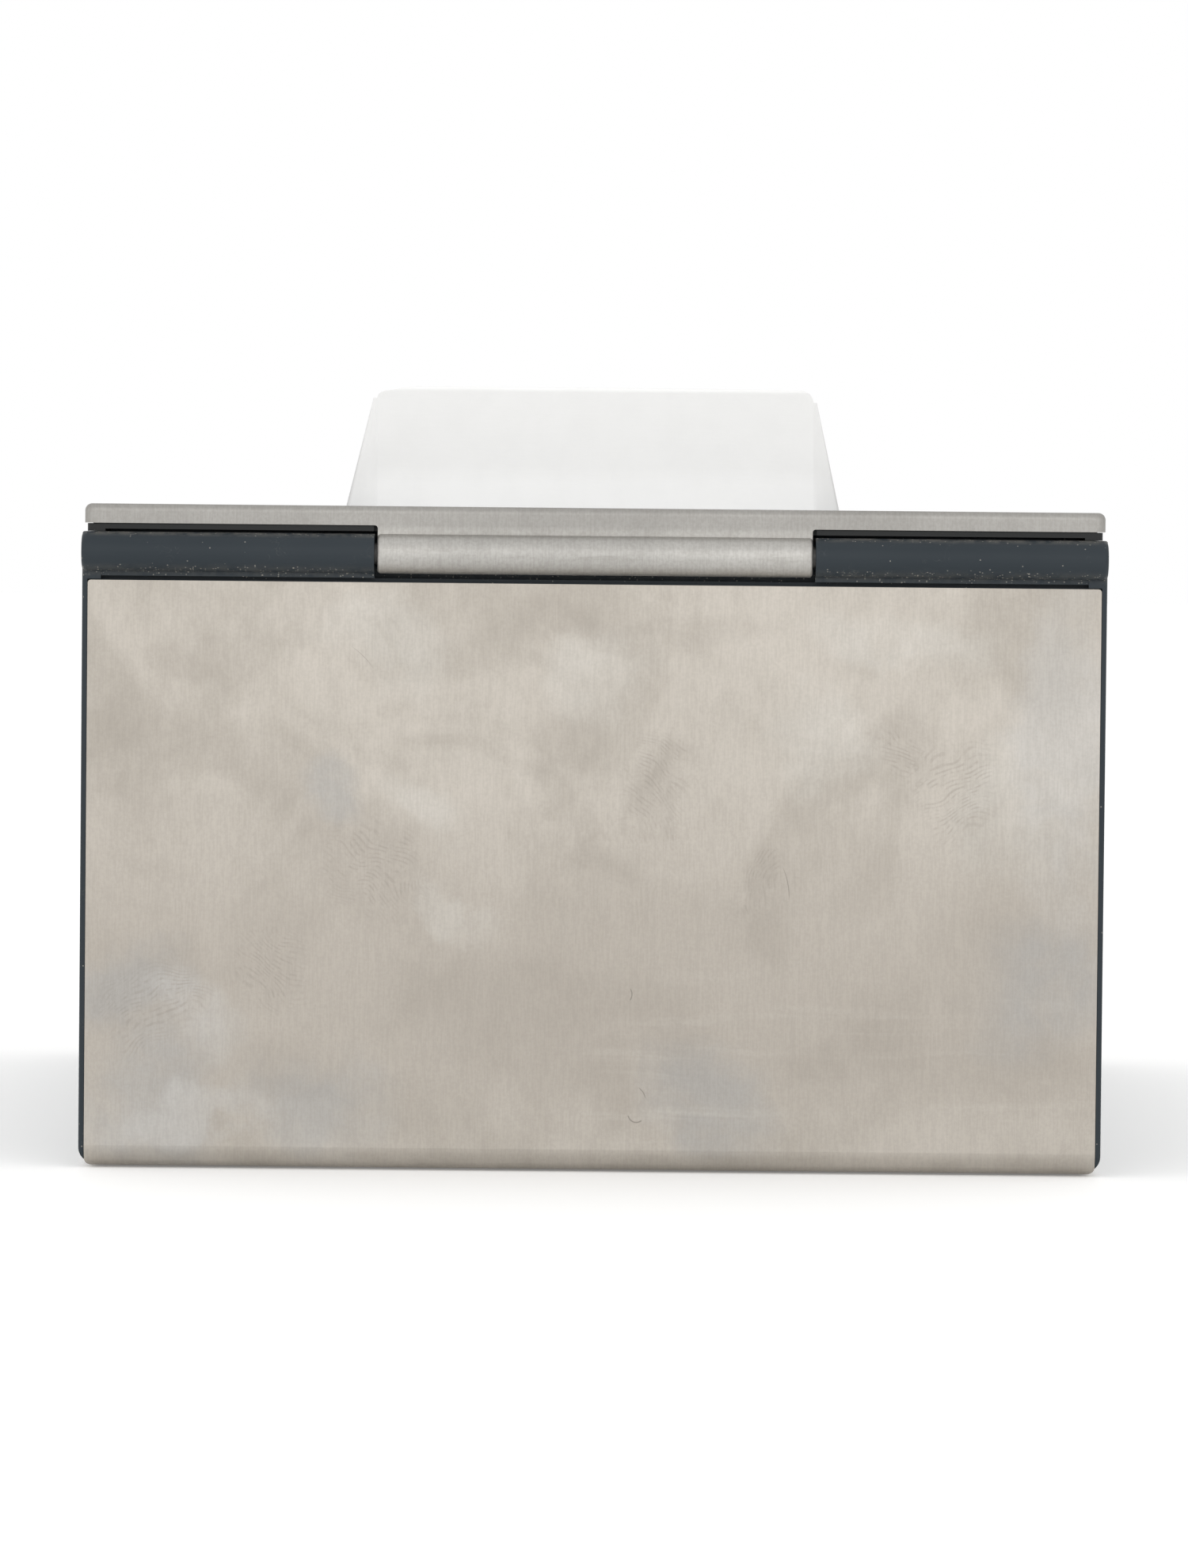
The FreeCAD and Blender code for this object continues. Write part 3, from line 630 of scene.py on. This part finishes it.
def make_top_napkin(material):
    """One napkin, folded once along its length. The upper panel is drawn up through the slot."""
    loop = loop_shares()
    rings = []
    for i in range(WALL_STEPS + 1):
        rise = 1 - (i / WALL_STEPS) ** 1.35
        rings.append([tent_point(*place, rise) for place in loop])
    feet = rings[-1]
    for i in range(1, SKIRT_STEPS + 1):
        share = (i / SKIRT_STEPS) ** 1.6
        rings.append([skirt_point(*place, share, foot) for place, foot in zip(loop, feet)])
    count = len(loop)
    points = [point for ring in rings for point in ring]
    faces = []
    for i in range(len(rings) - 1):
        for j in range(count):
            k = (j + 1) % count
            faces.append((i * count + j, i * count + k, (i + 1) * count + k, (i + 1) * count + j))
    first = FACE_STEPS
    edge = [(len(rings) - 1) * count + first + j for j in range(SIDE_STEPS + 1)]
    bend = (TOP_LAYER_Z - LOWER_LAYER_Z) / 2
    for i in range(1, FOLD_STEPS + PANEL_STEPS + 1):
        row = []
        for index in edge:
            start = points[index]
            turn = math.pi * min(i / FOLD_STEPS, 1.0)
            side = math.copysign(1, start.x)
            run = max(i - FOLD_STEPS, 0) / PANEL_STEPS * 2 * abs(start.x)
            wave = noise.noise(Vector((run * 20, start.y * 25, 4.0)))
            wave *= 0.10 * MM * min(1, run / 0.02)
            x = start.x + side * (bend * math.sin(turn) - bend) - side * run
            row.append(len(points))
            points.append(Vector((x, start.y, start.z - bend * (1 - math.cos(turn)) + wave)))
        above = edge if i == 1 else before
        for j in range(SIDE_STEPS):
            faces.append((above[j], row[j], row[j + 1], above[j + 1]))
        before = row
    piece = make_piece("top_napkin", points, faces, material, "follower")
    thicken(piece, PLY)
    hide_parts("napkin_tail")
    return piece


def napkin_profile(fold, upper, lower, shift):
    """Across a folded napkin: along its upper panel, round the fold and back along the lower."""
    reach = STACK_HIGH.x - 0.35 * MM - abs(shift)
    bend = (upper - lower) / 2
    line = [(fold * (-reach + (2 * reach - bend) * i / 8), upper) for i in range(9)]
    for i in range(1, FOLD_STEPS):
        turn = math.pi * i / FOLD_STEPS
        x = fold * (reach - bend + bend * math.sin(turn))
        line.append((x, (upper + lower) / 2 + bend * math.cos(turn)))
    line += [(fold * (reach - bend - (2 * reach - bend) * i / 8), lower) for i in range(9)]
    return [(x + shift, z) for x, z in line]


def make_stack(material):
    """Interfolded napkins: each one's fold holds a panel of the one above and of the one below."""
    draw = random.Random(11)
    low, high = STACK_LOW.z + PLY, STACK_HIGH.z - 1.75 * MM
    layer = (high - low) / (LAYERS - 1)
    rows = 14
    points, faces = [], []
    for sheet in range(SHEETS - 1):
        fold = 1 if sheet % 2 else -1
        upper = high - 2 * sheet * layer
        lower = upper - 3 * layer
        shift = draw.uniform(-0.25, 0.25) * MM
        far = STACK_HIGH.y - draw.uniform(0.25, 0.75) * MM
        near_end = STACK_LOW.y + draw.uniform(0.25, 0.75) * MM
        profile = napkin_profile(fold, upper, lower, shift)
        start = len(points)
        for i in range(rows + 1):
            y = near_end + (far - near_end) * i / rows
            for x, z in profile:
                sway = noise.noise(Vector((y * 30, sheet * 0.7, 0.0))) * 0.18 * MM
                points.append(Vector((x + sway, y, z)))
        width = len(profile)
        for i in range(rows):
            for j in range(width - 1):
                a = start + i * width + j
                faces.append((a, a + 1, a + width + 1, a + width))
    piece = make_piece("folded_napkins", points, faces, material, "follower")
    thicken(piece, layer * 0.62)
    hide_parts("napkin_stack")
    return piece


# ---- lift springs


def make_spring(node, name, material):
    """Stands for a lift spring, with a copy of the CAD spring's shape fixed to the base."""
    shape = frame["nodes"][node].data
    points = [vertex.co.copy() for vertex in shape.vertices]
    faces = [tuple(polygon.vertices) for polygon in shape.polygons]
    piece = make_piece(name, points, faces, material, "base")
    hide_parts(node)
    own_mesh(piece)


# ---- surroundings

FLOOR_HALF = 6.0
FLOOR_GLOW = 0.14  # keeps the floor near white beside the object


def add_stage():
    """A pale floor, wide enough to meet the white surroundings from any side."""
    points = [(x, y, 0) for x in (-FLOOR_HALF, FLOOR_HALF) for y in (-FLOOR_HALF, FLOOR_HALF)]
    mesh = bpy.data.meshes.new("floor")
    mesh.from_pydata(points, [], [(0, 2, 3, 1)])
    mesh.materials.append(floor_surface())
    floor = bpy.data.objects.new("floor", mesh)
    bpy.context.scene.collection.objects.link(floor)


def add_light(name, place, aim, width, height, power):
    data = bpy.data.lights.new(name, "AREA")
    data.shape = "RECTANGLE"
    data.size, data.size_y = width, height
    data.energy = power
    light = bpy.data.objects.new(name, data)
    turn = (Vector(aim) - Vector(place)).to_track_quat("-Z", "Y")
    light.matrix_world = Matrix.Translation(place) @ turn.to_matrix().to_4x4()
    bpy.context.scene.collection.objects.link(light)


def add_lights():
    world = bpy.data.worlds.new("studio")
    world.use_nodes = True
    background = world.node_tree.nodes["Background"]
    background.inputs["Color"].default_value = WHITE
    background.inputs["Strength"].default_value = 1.0
    bpy.context.scene.world = world
    add_light("overhead", (0, -0.2, 1.3), (0, -0.1, 0.05), 1.2, 1.2, 0.8)
    add_light("front", (0.12, -1.55, 0.6), (0, 0, 0.05), 1.8, 0.8, 6)
    add_light("left", (-1.3, -0.6, 0.4), (0, 0, 0.04), 0.5, 1.0, 1.2)
    bpy.context.scene.view_settings.view_transform = "Standard"


add_camera()
dress()
# painted shade: the stack's tissue is a darker copy of the top napkin's, so its upward faces do not
# wash out
make_stack(paper("stack_paper", (0.735, 0.735, 0.725), (0.70, 0.70, 0.69)))
top_napkin = make_top_napkin(paper("top_paper", (0.865, 0.865, 0.857), (0.84, 0.84, 0.832)))
spring_steel = hardware("spring_steel", (0.50, 0.49, 0.47), 0.24)
make_spring("lift_spring_rear", "rear_coil", spring_steel)
make_spring("lift_spring_front", "front_coil", spring_steel)
add_stage()
add_lights()
